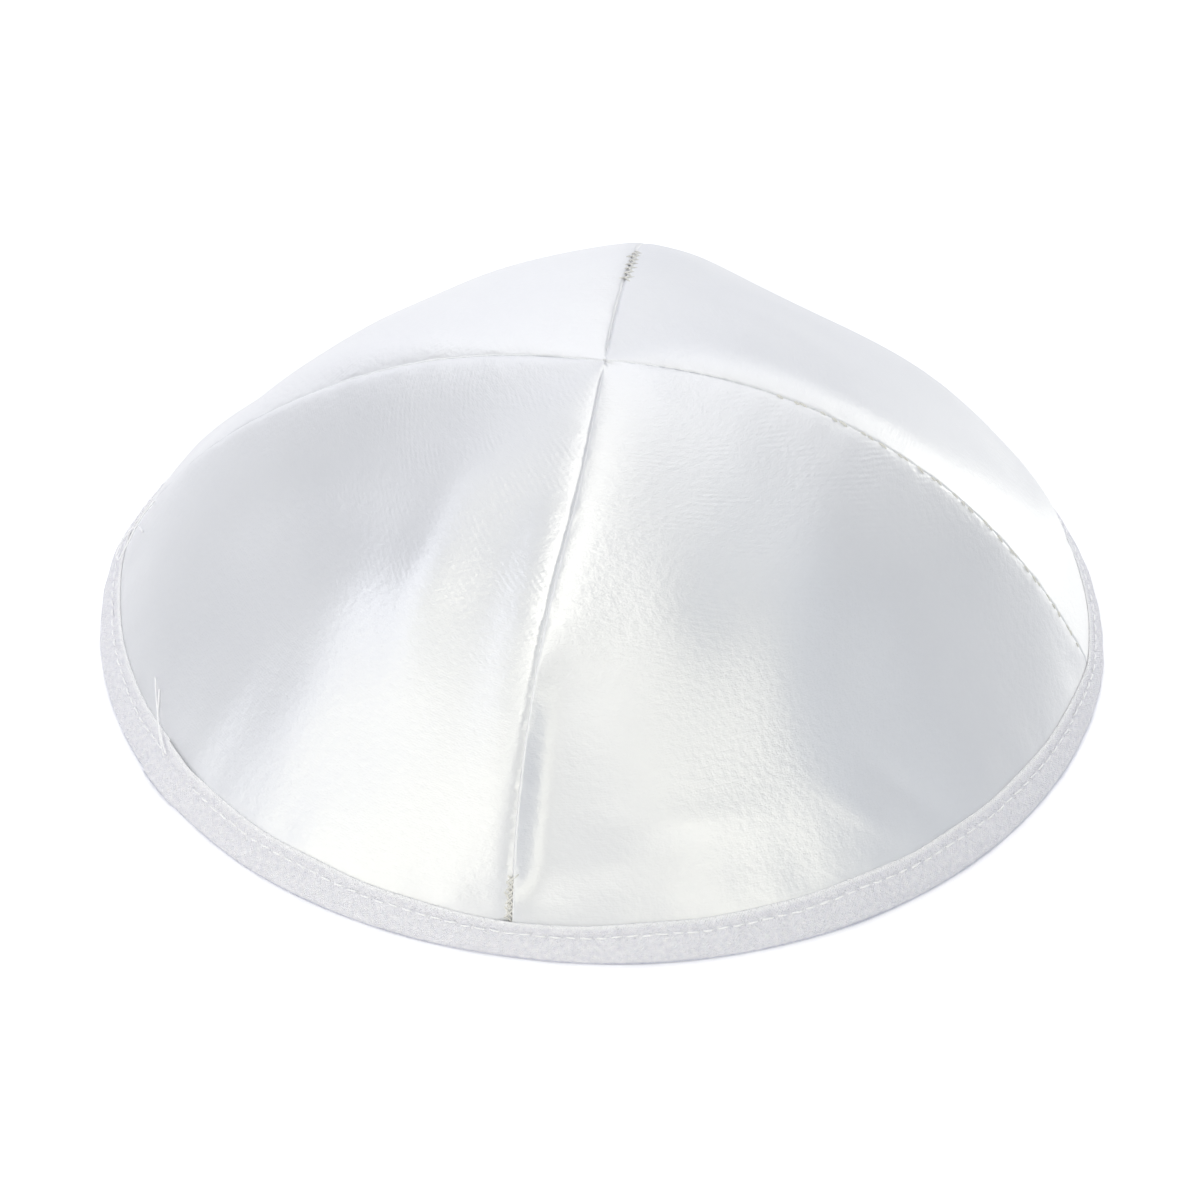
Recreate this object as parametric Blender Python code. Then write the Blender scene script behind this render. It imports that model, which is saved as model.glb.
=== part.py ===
"""Four-gore satin skullcap, standing on its rim.

Metres, +Z up. The origin is the middle of the footprint on the resting plane, and the front looks to -Y.
The crown is one surface, read by how far across a gore a point lies and how far down from the apex.
"""

import math
from collections import namedtuple

import bmesh
import bpy
from mathutils import Vector

# Driving sizes
OPENING_DIAMETER = 0.165
CROWN_HEIGHT = 0.0575
CLOTH_WALL = 0.0012
TAPE_WALL = 0.0010
TAPE_WIDTH = 0.0065
SEAM_GAP = 0.0003
TAPE_GAP = 0.0003
APEX_OPENING = 0.0014

# How round a seam's arc is: the angle it turns through from apex to rim
ARC_ANGLE = math.radians(72)

# The apex leans to the wearer's forehead by this share of the opening radius
APEX_LEAN = 0.04

# How early the tape's outer and inner folds begin to turn under, as a share of its wall
FOLD_TURN = 0.3

# Mesh density, and the angle past which an edge is left sharp
GORE_COLUMNS = 18
GORE_RINGS = 16
TAPE_RINGS = 3
SHARP_ANGLE = math.radians(40)

# A seam runs from apex to rim. Azimuth is in degrees, reach is its distance from the middle at half way and
# at the rim, and sway is its sideways drift at three heights, all as shares of the opening radius.
Seam = namedtuple("Seam", "azimuth half_reach rim_reach sway_high sway_middle sway_low")
SEAMS = {
    "front": Seam(-100.5, 1.00, 0.97, 0.012, -0.004, -0.008),
    "right": Seam(-11.5, 1.01, 0.99, 0.018, 0.010, -0.006),
    "back": Seam(83.0, 1.02, 0.99, 0.000, 0.000, 0.000),
    "left": Seam(168.0, 0.99, 1.01, 0.004, 0.014, 0.000),
}

# A gore lies between two seams. Flat is how far its section leaves the round arc for the straight chord
# between them, read at five heights from the apex to the rim.
Gore = namedtuple("Gore", "name start end flat_apex flat_high flat_middle flat_low flat_rim")
GORES = [
    Gore("panel_front_right", "front", "right", 0.38, 0.38, 0.38, 0.34, -0.02),
    Gore("panel_back_right", "right", "back", 0.38, 0.38, 0.44, 0.22, 0.03),
    Gore("panel_back_left", "back", "left", 0.38, 0.38, 0.34, 0.38, 0.03),
    Gore("panel_front_left", "left", "front", 0.38, 0.38, 0.38, 0.34, 0.01),
]

# A soft fold is a round dent or swell in one gore: its middle, its half widths as shares of the gore, and
# its height as a share of the opening radius, below nothing for a dent.
Fold = namedtuple("Fold", "gore across down half_across half_down height")
FOLDS = [
    Fold("panel_back_right", 0.72, 0.62, 0.16, 0.16, -0.020),
    Fold("panel_back_right", 0.50, 0.80, 0.16, 0.12, 0.014),
    Fold("panel_back_right", 0.92, 0.50, 0.10, 0.16, 0.030),
    Fold("panel_front_left", 0.40, 0.35, 0.22, 0.20, -0.010),
    Fold("panel_front_left", 0.66, 0.62, 0.16, 0.26, 0.010),
    Fold("panel_front_right", 0.58, 0.50, 0.20, 0.24, 0.008),
    Fold("panel_front_right", 0.30, 0.88, 0.14, 0.06, -0.008),
    Fold("panel_back_left", 0.45, 0.55, 0.20, 0.20, -0.008),
]

# Cloth colours, as the photograph shows them
SATIN_COLOUR = (0.82, 0.83, 0.86, 1.0)
SATIN_ROUGHNESS = 0.35
TAPE_COLOUR = (0.76, 0.76, 0.82, 1.0)
TAPE_ROUGHNESS = 0.75


def along(values, share):
    """Smooth curve through evenly spaced values, read at a share from 0 to 1."""
    spans = len(values) - 1
    place = min(max(share, 0.0), 1.0) * spans
    index = min(int(place), spans - 1)
    step = place - index
    before = values[index - 1] if index > 0 else 2 * values[0] - values[1]
    start = values[index]
    end = values[index + 1]
    after = values[index + 2] if index + 2 <= spans else 2 * values[-1] - values[-2]
    slope = end - before
    bend = 2 * before - 5 * start + 4 * end - after
    twist = 3 * (start - end) + after - before
    return start + 0.5 * step * (slope + step * (bend + step * twist))


def ring_height(down):
    """Height of a ring as a share of the crown height."""
    rim = math.cos(ARC_ANGLE)
    return (math.cos(ARC_ANGLE * down) - rim) / (1 - rim)


def down_at_height(height):
    """The share from apex to rim at which a ring lies at this height in metres."""
    rim = math.cos(ARC_ANGLE)
    cosine = rim + (1 - rim) * height / CROWN_HEIGHT
    return math.acos(cosine) / ARC_ANGLE


def down_at_radius(radius):
    """The share from apex to rim at which a ring is this far from the middle in metres."""
    return math.asin(radius / (OPENING_DIAMETER / 2) * math.sin(ARC_ANGLE)) / ARC_ANGLE


def seam_place(seam, down):
    """A point of a seam from above, as shares of the opening radius."""
    arc = math.sin(ARC_ANGLE * down) / math.sin(ARC_ANGLE)
    reach = arc * along((1.0, seam.half_reach, seam.rim_reach), down)
    sway = along((0.0, seam.sway_high, seam.sway_middle, seam.sway_low, 0.0), down)
    azimuth = math.radians(seam.azimuth)
    outward = Vector((math.cos(azimuth), math.sin(azimuth)))
    sideways = Vector((-math.sin(azimuth), math.cos(azimuth)))
    return outward * reach + sideways * sway


def fold_height(gore, across, down):
    """How far the soft folds lift the cloth, as a share of the opening radius."""
    total = 0.0
    for fold in FOLDS:
        if fold.gore == gore.name:
            sideways = (across - fold.across) / fold.half_across
            lengthways = (down - fold.down) / fold.half_down
            total += fold.height * math.exp(-(sideways**2) - lengthways**2)
    return total * math.sin(math.pi * across)


def crown_point(gore, across, down, inset):
    """A point of the crown: across from seam to seam, down from apex to rim, inset into the cloth."""
    start = seam_place(SEAMS[gore.start], down)
    end = seam_place(SEAMS[gore.end], down)
    chord = start.lerp(end, across)
    azimuth = math.atan2(start.y, start.x) + start.angle(end) * across
    reach = start.length + (end.length - start.length) * across
    arc = Vector((math.cos(azimuth), math.sin(azimuth))) * reach
    flats = (gore.flat_apex, gore.flat_high, gore.flat_middle, gore.flat_low, gore.flat_rim)
    place = arc.lerp(chord, along(flats, down))
    place.y -= APEX_LEAN * (1 - down)
    lift = 1 + fold_height(gore, across, down)
    radius = OPENING_DIAMETER / 2 * lift - inset
    height = CROWN_HEIGHT * lift - inset
    return Vector((place.x * radius, place.y * radius, ring_height(down) * height))


def gore_width(gore, down):
    """Straight distance between a gore's two seams, in metres."""
    start = seam_place(SEAMS[gore.start], down)
    end = seam_place(SEAMS[gore.end], down)
    return (end - start).length * OPENING_DIAMETER / 2


def seam_margin(gore, down):
    """The share of a gore's width left free at a seam, so that neighbours keep the seam gap."""
    slant_of_chord = math.cos(math.pi / len(GORES))
    return SEAM_GAP / 2 / slant_of_chord / gore_width(gore, down)


def new_object(name, points, faces, material):
    """One closed mesh object from points and faces, smooth with its edges sharp."""
    mesh = bpy.data.meshes.new(name)
    mesh.from_pydata(points, [], faces)
    work = bmesh.new()
    work.from_mesh(mesh)
    bmesh.ops.recalc_face_normals(work, faces=work.faces)
    bmesh.ops.triangulate(work, faces=work.faces)
    work.to_mesh(mesh)
    work.free()
    mesh.materials.append(material)
    mesh.shade_smooth()
    mesh.set_sharp_from_angle(angle=SHARP_ANGLE)
    made = bpy.data.objects.new(name, mesh)
    bpy.context.scene.collection.objects.link(made)
    return made


def cloth_material(name, colour, roughness):
    """Matt or glossy cloth."""
    material = bpy.data.materials.new(name)
    material.use_nodes = True
    shader = material.node_tree.nodes["Principled BSDF"]
    shader.inputs["Base Color"].default_value = colour
    shader.inputs["Roughness"].default_value = roughness
    shader.inputs["Metallic"].default_value = 0.0
    return material


def make_gore(gore, material):
    """A curved triangle of cloth with its tip left open and its foot inside the tape."""
    top = down_at_radius(APEX_OPENING / 2)
    foot = down_at_height(TAPE_WALL + TAPE_GAP)
    rows = []
    for inset in (0.0, CLOTH_WALL):
        for ring in range(GORE_RINGS + 1):
            down = top + (foot - top) * ring / GORE_RINGS
            margin = seam_margin(gore, down)
            row = []
            for column in range(GORE_COLUMNS + 1):
                across = margin + (1 - 2 * margin) * column / GORE_COLUMNS
                row.append(crown_point(gore, across, down, inset))
            rows.append(row)
    points = [point for row in rows for point in row]
    wide = GORE_COLUMNS + 1
    layer = wide * (GORE_RINGS + 1)
    faces = []
    for ring in range(GORE_RINGS):
        for column in range(GORE_COLUMNS):
            corner = ring * wide + column
            outer = (corner, corner + 1, corner + wide + 1, corner + wide)
            faces.append(outer)
            faces.append(tuple(layer + index for index in reversed(outer)))
    border = list(range(wide))
    border += [ring * wide + wide - 1 for ring in range(1, GORE_RINGS + 1)]
    border += [GORE_RINGS * wide + column for column in range(wide - 2, -1, -1)]
    border += [ring * wide for ring in range(GORE_RINGS - 1, 0, -1)]
    for index, corner in enumerate(border):
        after = border[(index + 1) % len(border)]
        faces.append((corner, after, layer + after, layer + corner))
    return new_object(gore.name, points, faces, material)


def tape_section():
    """The folded tape's section, as pairs of inset and down, in order around it."""
    meridian = ARC_ANGLE * OPENING_DIAMETER / 2 / math.sin(ARC_ANGLE)
    top = 1 - TAPE_WIDTH / meridian
    outside = -TAPE_GAP - TAPE_WALL
    slot_outside = -TAPE_GAP
    slot_inside = CLOTH_WALL + TAPE_GAP
    inside = CLOTH_WALL + TAPE_GAP + TAPE_WALL
    turn = down_at_height(TAPE_WALL)
    low_turn = down_at_height(TAPE_WALL * FOLD_TURN)
    leaf = [top + (turn - top) * ring / TAPE_RINGS for ring in range(TAPE_RINGS + 1)]
    section = [(outside, down) for down in leaf]
    section.append((outside + TAPE_WALL * FOLD_TURN, low_turn))
    section.append((outside + TAPE_WALL, 1.0))
    section.append((inside - TAPE_WALL, 1.0))
    section.append((inside - TAPE_WALL * FOLD_TURN, low_turn))
    section += [(inside, down) for down in reversed(leaf)]
    section += [(slot_inside, down) for down in leaf]
    section += [(slot_outside, down) for down in reversed(leaf)]
    return section


def make_binding(material):
    """Tape folded round the foot of all four gores, in one ring."""
    section = tape_section()
    count = len(section)
    points = []
    for gore in GORES:
        for column in range(GORE_COLUMNS):
            across = column / GORE_COLUMNS
            points += [crown_point(gore, across, down, inset) for inset, down in section]
    stations = GORE_COLUMNS * len(GORES)
    faces = []
    for station in range(stations):
        here = station * count
        there = (station + 1) % stations * count
        for index in range(count):
            after = (index + 1) % count
            faces.append((here + index, here + after, there + after, there + index))
    return new_object("binding", points, faces, material)


def centre_on_origin(made):
    """Put the middle of the whole footprint on the origin."""
    places = [vertex.co for piece in made for vertex in piece.data.vertices]
    middle_x = (min(place.x for place in places) + max(place.x for place in places)) / 2
    middle_y = (min(place.y for place in places) + max(place.y for place in places)) / 2
    for piece in made:
        for vertex in piece.data.vertices:
            vertex.co.x -= middle_x
            vertex.co.y -= middle_y


def build():
    """Clear the scene and make the cap."""
    for old in list(bpy.data.objects):
        bpy.data.objects.remove(old, do_unlink=True)
    satin = cloth_material("satin", SATIN_COLOUR, SATIN_ROUGHNESS)
    tape = cloth_material("tape", TAPE_COLOUR, TAPE_ROUGHNESS)
    made = [make_gore(gore, satin) for gore in GORES]
    made.append(make_binding(tape))
    centre_on_origin(made)


build()
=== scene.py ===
import math
from collections import namedtuple

import bpy
import numpy as np
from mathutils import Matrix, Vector


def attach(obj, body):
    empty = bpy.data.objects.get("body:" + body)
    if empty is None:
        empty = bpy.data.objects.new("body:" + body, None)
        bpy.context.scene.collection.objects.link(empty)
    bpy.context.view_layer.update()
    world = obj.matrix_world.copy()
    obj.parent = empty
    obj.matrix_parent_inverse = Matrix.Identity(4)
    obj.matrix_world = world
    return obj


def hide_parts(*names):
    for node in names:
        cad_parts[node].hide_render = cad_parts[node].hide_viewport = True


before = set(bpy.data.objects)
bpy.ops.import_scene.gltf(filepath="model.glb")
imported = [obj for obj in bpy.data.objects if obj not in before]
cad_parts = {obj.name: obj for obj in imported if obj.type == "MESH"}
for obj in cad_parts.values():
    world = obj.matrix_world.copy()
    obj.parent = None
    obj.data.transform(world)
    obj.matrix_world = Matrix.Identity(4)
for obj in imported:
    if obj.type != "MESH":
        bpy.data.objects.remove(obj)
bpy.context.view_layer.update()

# Sizes of the cap as its solids have them: metres, the angle of the crown's arc, and its apex's lean to
# the front as a share of the opening radius
OPENING_DIAMETER = 0.165
CROWN_HEIGHT = 0.0575
ARC_ANGLE = math.radians(72)
APEX_LEAN = 0.04
TAPE_WIDTH = 0.0065
MERIDIAN = ARC_ANGLE * OPENING_DIAMETER / 2 / math.sin(ARC_ANGLE)
CIRCUMFERENCE = math.pi * OPENING_DIAMETER

# How much longer a gore's arc is than its chord, and the millimetres in a metre
ARC_OVER_CHORD = 1.06
MILLIMETRES = 1000

# The satin in metres: how far its underside lies below the plain form, its least thickness, and how high
# a gore's foot stands. The underside follows a share of the relief, and only down to its lowest value
SATIN_THICK = 0.0009
SATIN_THIN = 0.0003
GORE_FOOT = 0.0014
UNDERSIDE_SHARE = 0.7
UNDERSIDE_LOWEST = -0.0003

# The seam allowances inside, in metres: thickness, width, and the step at their edge
ALLOWANCE_THICK = 0.0003
ALLOWANCE_WIDTH = 0.006
ALLOWANCE_STEP = 0.001

# The tape in metres: its width when flat, how far it stands out at its middle and at its upper lip, its
# gap to the cloth, and the radius of its upper fold
TAPE_PROUD = 0.00065
TAPE_LIP = 0.00030
TAPE_SLACK = 0.00001
TAPE_EDGE = 0.00026

# Mesh density: the columns of a gore stand closer together in the rolled edge of a seam
GORE_COLUMNS = 132
GORE_RINGS = 200
APEX_START = 0.0014
EDGE_COLUMNS = 16
EDGE_WIDTH = 0.0018
EDGE_LARGEST_SHARE = 0.25
EDGE_CROWDING = 1.6
TAPE_STATIONS = 1660

# A seam runs from apex to rim: azimuth in degrees, the rest as shares of the opening radius
Seam = namedtuple("Seam", "azimuth half_reach rim_reach sway_high sway_middle sway_low")
SEAMS = {
    "front": Seam(-100.5, 1.00, 0.97, 0.012, -0.004, -0.008),
    "right": Seam(-11.5, 1.01, 0.99, 0.018, 0.010, -0.006),
    "back": Seam(83.0, 1.02, 0.99, 0.000, 0.000, 0.000),
    "left": Seam(168.0, 0.99, 1.01, 0.004, 0.014, 0.000),
}

# A gore lies between two seams: how flat its section is at five heights from the apex to the rim
Gore = namedtuple("Gore", "name start end flat_apex flat_high flat_middle flat_low flat_rim")
GORES = [
    Gore("panel_front_right", "front", "right", 0.38, 0.38, 0.38, 0.34, -0.02),
    Gore("panel_back_right", "right", "back", 0.38, 0.38, 0.44, 0.22, 0.03),
    Gore("panel_back_left", "back", "left", 0.38, 0.38, 0.34, 0.38, 0.03),
    Gore("panel_front_left", "left", "front", 0.38, 0.38, 0.38, 0.34, 0.01),
]

# Main folds, as the solids have them: shares of the gore, and height as a share of the opening radius
Fold = namedtuple("Fold", "gore across down half_across half_down height")
FOLDS = [
    Fold("panel_back_right", 0.72, 0.62, 0.16, 0.16, -0.020),
    Fold("panel_back_right", 0.50, 0.80, 0.16, 0.12, 0.014),
    Fold("panel_back_right", 0.92, 0.50, 0.10, 0.16, 0.030),
    Fold("panel_front_left", 0.40, 0.35, 0.22, 0.20, -0.010),
    Fold("panel_front_left", 0.66, 0.62, 0.16, 0.26, 0.010),
    Fold("panel_front_right", 0.58, 0.50, 0.20, 0.24, 0.008),
    Fold("panel_front_right", 0.30, 0.88, 0.14, 0.06, -0.008),
    Fold("panel_back_left", 0.45, 0.55, 0.20, 0.20, -0.008),
]

# Small creases of the cloth: place as shares of the gore, then half length, half width, turn from the
# ring in degrees and height, in millimetres
Crease = namedtuple("Crease", "gore across down long wide turn height")
CREASES = [
    Crease("panel_front_left", 0.60, 0.76, 26, 9, 82, 0.85),
    Crease("panel_front_left", 0.69, 0.46, 18, 6, 74, 1.15),
    Crease("panel_front_left", 0.34, 0.70, 24, 12, 78, -0.90),
    Crease("panel_front_left", 0.48, 0.86, 15, 5, 88, 0.40),
    Crease("panel_front_left", 0.88, 0.50, 26, 4, 88, -0.28),
    Crease("panel_front_right", 0.46, 0.76, 24, 10, 96, 1.10),
    Crease("panel_front_right", 0.27, 0.48, 15, 8, 84, 0.55),
    Crease("panel_front_right", 0.05, 0.74, 17, 3, 90, -0.55),
    Crease("panel_front_right", 0.82, 0.72, 24, 12, 100, -0.80),
    Crease("panel_front_right", 0.18, 0.90, 12, 2.2, 4, 0.50),
    Crease("panel_front_right", 0.17, 0.85, 9, 2.0, -3, -0.42),
    Crease("panel_front_right", 0.22, 0.80, 11, 2.4, 6, 0.38),
    Crease("panel_front_right", 0.52, 0.90, 9, 2.0, 52, 0.55),
    Crease("panel_front_right", 0.58, 0.88, 9, 2.0, 58, -0.50),
    Crease("panel_back_right", 0.09, 0.40, 32, 7, 90, 0.90),
    Crease("panel_back_right", 0.16, 0.75, 20, 9, 84, 0.90),
    Crease("panel_back_right", 0.22, 0.86, 16, 6, 2, 2.00),
    Crease("panel_back_left", 0.88, 0.42, 20, 7, 94, 1.00),
    Crease("panel_back_left", 0.82, 0.86, 18, 6, -2, 1.60),
]


def along(values, share):
    """Smooth curve through evenly spaced values, read at shares from 0 to 1."""
    spans = len(values) - 1
    padded = np.array([2 * values[0] - values[1], *values, 2 * values[-1] - values[-2]])
    place = np.clip(share, 0.0, 1.0) * spans
    index = np.minimum(place.astype(int), spans - 1)
    step = place - index
    before, start, end, after = (padded[index + shift] for shift in range(4))
    slope = end - before
    bend = 2 * before - 5 * start + 4 * end - after
    twist = 3 * (start - end) + after - before
    return start + 0.5 * step * (slope + step * (bend + step * twist))


def ring_height(down):
    """Height of a ring as a share of the crown height."""
    rim = math.cos(ARC_ANGLE)
    return (np.cos(ARC_ANGLE * down) - rim) / (1 - rim)


def down_at_height(height):
    """The share from apex to rim at which a ring lies at this height in metres."""
    rim = math.cos(ARC_ANGLE)
    cosine = rim + (1 - rim) * np.asarray(height, float) / CROWN_HEIGHT
    return np.arccos(cosine) / ARC_ANGLE


def seam_place(name, down):
    """A seam from above: x and y as shares of the opening radius."""
    seam = SEAMS[name]
    arc = np.sin(ARC_ANGLE * down) / math.sin(ARC_ANGLE)
    reach = arc * along((1.0, seam.half_reach, seam.rim_reach), down)
    sway = along((0.0, seam.sway_high, seam.sway_middle, seam.sway_low, 0.0), down)
    turn = math.radians(seam.azimuth)
    x = reach * math.cos(turn) - sway * math.sin(turn)
    y = reach * math.sin(turn) + sway * math.cos(turn)
    return x, y


def fold_height(gore, across, down):
    """How far the main folds lift the cloth, as a share of the opening radius."""
    total = 0.0
    for fold in FOLDS:
        if fold.gore == gore.name:
            sideways = (across - fold.across) / fold.half_across
            lengthways = (down - fold.down) / fold.half_down
            total = total + fold.height * np.exp(-(sideways**2) - lengthways**2)
    return total * np.sin(math.pi * across)


def crown_points(gore, across, down, inset):
    """Points of the crown: across from seam to seam, down from apex to rim, inset into the cloth."""
    x0, y0 = seam_place(gore.start, down)
    x1, y1 = seam_place(gore.end, down)
    length0, length1 = np.hypot(x0, y0), np.hypot(x1, y1)
    cosine = (x0 * x1 + y0 * y1) / (length0 * length1)
    azimuth = np.arctan2(y0, x0) + np.arccos(np.clip(cosine, -1, 1)) * across
    reach = length0 + (length1 - length0) * across
    flat = along(gore[3:], down)
    x = reach * np.cos(azimuth) * (1 - flat) + (x0 + (x1 - x0) * across) * flat
    y = reach * np.sin(azimuth) * (1 - flat) + (y0 + (y1 - y0) * across) * flat
    y = y - APEX_LEAN * (1 - down)
    lift = 1 + fold_height(gore, across, down)
    radius = OPENING_DIAMETER / 2 * lift - inset
    height = CROWN_HEIGHT * lift - inset
    return np.stack([x * radius, y * radius, ring_height(down) * height], axis=-1)


def footprint_middle():
    """The middle of the solids' footprint, on the resting plane, before they were put on the origin."""
    across = np.linspace(0, 1, 60)
    down = np.ones_like(across)
    rim = np.concatenate([crown_points(gore, across, down, 0.0) for gore in GORES])
    x, y, _ = (rim.min(axis=0) + rim.max(axis=0)) / 2
    return np.array([x, y, 0.0])


MIDDLE = footprint_middle()
WAVE_STAGGER = 1.7


def wave(place, *lengths, phase=0.0):
    """An uneven ripple between about -1 and 1: sines of several lengths added."""
    total = 0.0
    for index, length in enumerate(lengths):
        total = total + np.sin(2 * math.pi * place / length + phase * (index + 1) + WAVE_STAGGER * index)
    return total / len(lengths)


def rim_wave(place, *counts, phase=0.0):
    """The same ripple round the rim, with whole counts of waves so that it meets itself."""
    return wave(place, *(CIRCUMFERENCE / count for count in counts), phase=phase)


def smooth_step(value, low, high):
    """0 below low and 1 above high, with a smooth rise between."""
    share = np.clip((value - low) / (high - low), 0, 1)
    return share * share * (3 - 2 * share)


def even(value):
    """The same value at all five heights."""
    return (value,) * 5


# How far each seam sinks into the cloth and how deep its edges roll in, in millimetres, at five heights
# from the apex to the foot
SINKS = {
    "front": (0.35, 0.32, 0.25, 0.10, 0.10),
    "right": even(0.30),
    "back": (0.30, 0.35, 0.35, 0.30, 0.30),
    "left": (0.45, 0.45, 0.45, 0.45, 0.40),
}
ROLLS = {
    "front": (0.20, 0.24, 0.36, 0.78, 0.74),
    "right": (0.26, 0.30, 0.36, 0.38, 0.34),
    "back": (0.30, 0.34, 0.34, 0.30, 0.30),
    "left": (0.24, 0.24, 0.26, 0.26, 0.24),
}

# The cloth beside a seam, at evenly spaced heights and in millimetres: how wide it rolls, within what
# reach it sinks, and how high it bulges, or how deep it troughs. Then how far from the seam that is, and
# how wide it fades away from it
Side = namedtuple("Side", "seam gore widths reaches bulges place far")
SIDES = [
    Side("front", "panel_front_left", (0.5, 0.6, 0.9, 2.5, 2.5), (1.4, 1.3, 1.4, 1.6, 1.6),
         (0.0, 0.16, 0.30, 0.20, 0.05), 3.4, 5.0),
    Side("front", "panel_front_right", (0.4, 0.4, 0.5, 0.4, 0.4), (1.0, 1.0, 1.0, 1.4, 1.4),
         (0.28, 0.28, 0.28, 0.28, 0.10, -1.40, -2.20, -2.20, -1.80), 3.8, 10.0),
    Side("right", "panel_front_right", even(0.5), even(1.0), even(0.0), 2.0, 2.0),
    Side("right", "panel_back_right", even(0.4), (2.4, 2.6, 3.2, 4.0, 4.0), even(0.0), 2.0, 2.0),
    Side("back", "panel_back_right", even(0.5), even(1.3), even(0.0), 2.0, 2.0),
    Side("back", "panel_back_left", even(0.6), even(1.0), even(0.0), 2.0, 2.0),
    Side("left", "panel_back_left", even(0.4), (2.4, 2.4, 3.0, 3.0, 3.0), even(0.0), 2.0, 2.0),
    Side("left", "panel_front_left", even(0.5), even(1.0), even(0.0), 2.0, 2.0),
]
# Stitches draw the rolled edge in, by a share that differs from seam to seam
STITCH_PULLS = {"front": 0.15, "right": 0.60, "back": 0.30, "left": 0.30}
SEAM_STITCH_PITCH = 0.0025
SEAM_PHASE = {"front": 0.4, "right": 1.9, "back": 3.1, "left": 4.6}

# One seam gapes in a short slit near the apex: place and half length as shares down, depth in metres
SLIT_SEAM = "left"
SLIT_PLACE = 0.085
SLIT_LENGTH = 0.012
SLIT_DEPTH = 0.0011

# Shares down at which the seams, and the puckers beside them, reach their full depth below the apex
LIP_START = 0.045
PUCKER_START = 0.15

# Puckers beside the seams and above the tape, in metres, with the lengths or counts of their waves
SEAM_PUCKER = 0.00013
SEAM_PUCKER_REACH = 0.0038
SEAM_PUCKER_LENGTHS = (0.0052, 0.0079, 0.0123)
TAPE_PUCKER = 0.00020
TAPE_PUCKER_REACH = 0.0060
TAPE_PUCKER_COUNTS = (56, 37, 22)
TAPE_PUCKER_PHASE = 2.2
PUCKER_RISE = 0.0012

# Slack of the cloth between the seams, in metres: its height, and its waves across and down with slant
SLACK = 0.00030
SLACK_ACROSS = (0.027, 0.044)
SLACK_DOWN = (0.033, 0.058)
SLACK_ACROSS_SLANT = 0.4
SLACK_DOWN_SLANT = 0.3

# The tape flattens what it holds: the share left under it, and heights above its edge where that ends
HELD_BY_TAPE = 0.25
HOLD_START = -0.002
HOLD_END = 0.014
SEAM_HOLD_START = -0.001
SEAM_HOLD_END = 0.009


def gore_width(gore, down):
    """Width of a gore along its ring, in metres, from its chord."""
    x0, y0 = seam_place(gore.start, down)
    x1, y1 = seam_place(gore.end, down)
    chord = np.hypot(x1 - x0, y1 - y0) * OPENING_DIAMETER / 2
    return chord * ARC_OVER_CHORD


def rim_place(gore, across):
    """Distance round the rim, in metres, from the front seam."""
    index = GORES.index(gore)
    return (index + across) * CIRCUMFERENCE / len(GORES)


def form(gore, across, down):
    """How far the creases and the slack of the cloth lift it, in metres; less under the tape."""
    width = gore_width(gore, down)
    length = down * MERIDIAN
    from_start = across * width
    drift = wave(from_start + SLACK_ACROSS_SLANT * length, *SLACK_ACROSS, phase=len(gore.name))
    drift = drift + wave(length - SLACK_DOWN_SLANT * from_start, *SLACK_DOWN, phase=len(gore.start))
    out = SLACK / 2 * drift * np.sin(math.pi * across)
    for crease in CREASES:
        if crease.gore == gore.name:
            right = (across - crease.across) * width * MILLIMETRES
            below = (down - crease.down) * MERIDIAN * MILLIMETRES
            turn = math.radians(crease.turn)
            lengthways = right * math.cos(turn) + below * math.sin(turn)
            sideways = below * math.cos(turn) - right * math.sin(turn)
            bump = np.exp(-((lengthways / crease.long) ** 2) - (sideways / crease.wide) ** 2)
            off_seams = np.clip(np.sin(math.pi * across), 0, 1) ** 0.5
            out = out + crease.height / MILLIMETRES * bump * off_seams
    up_from_tape = MERIDIAN - TAPE_WIDTH - length
    free = smooth_step(up_from_tape, HOLD_START, HOLD_END)
    return out * (HELD_BY_TAPE + (1 - HELD_BY_TAPE) * free)


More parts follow.
